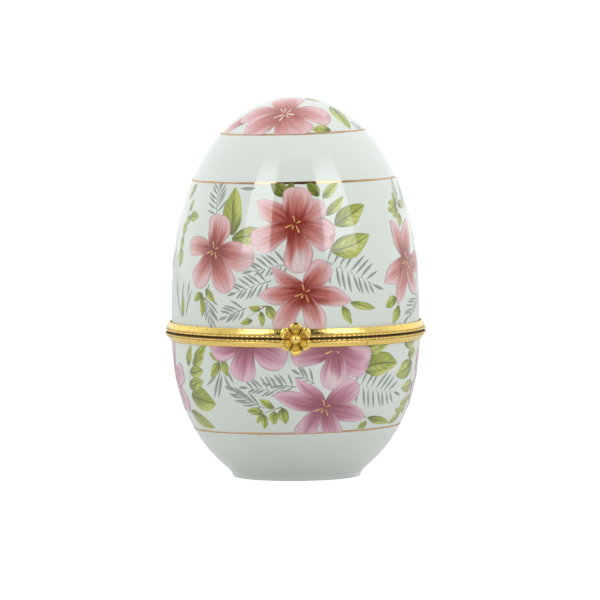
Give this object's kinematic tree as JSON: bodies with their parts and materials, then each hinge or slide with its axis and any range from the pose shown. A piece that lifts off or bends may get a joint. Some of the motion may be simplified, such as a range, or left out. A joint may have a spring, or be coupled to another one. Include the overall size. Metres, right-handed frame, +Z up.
{
  "type": "porcelain trinket box",
  "caption": "Egg-shaped porcelain trinket box with a domed lid hinged at the back, gilt brass collars round both rims and a rosette spring catch at the front.",
  "frame": {"origin": "centre of the foot, on the surface that the box stands on", "axes": "+Z up along the egg's axis, -Y to the front with the catch, +Y to the back with the hinge"},
  "size_m": [0.0686, 0.074, 0.1],
  "materials": {
    "porcelain": "glossy clear glaze over white body, with printed flowers and fired gilt lines",
    "gilt_brass": "bright gold plating over stamped brass",
    "cement": "matt setting cement"
  },
  "bodies": {
    "base": {"base_shell": "porcelain", "base_cement": "cement", "base_collar": "gilt_brass", "base_hinge_leaf": "gilt_brass", "hinge_pin": "gilt_brass", "catch_stud": "gilt_brass"},
    "lid": {"lid_shell": "porcelain", "lid_cement": "cement", "lid_collar": "gilt_brass", "lid_hinge_leaf": "gilt_brass", "tongue_pad": "gilt_brass"},
    "catch": {"catch_tongue": "gilt_brass", "catch_rosette": "gilt_brass", "catch_rivet": "gilt_brass"}
  },
  "joints": [
    {"name": "lid_hinge", "type": "hinge", "parent": "base", "child": "lid", "pos_m": [0, 0.0359, 0.0385], "axis": [-1, 0, 0], "range_deg": [0, 95]},
    {"name": "catch_spring", "type": "hinge", "parent": "lid", "child": "catch", "pos_m": [0, -0.03463, 0.04015], "axis": [-1, 0, 0], "range_deg": [0, 6], "stiffness_Nm_per_rad": 0.05}
  ]
}
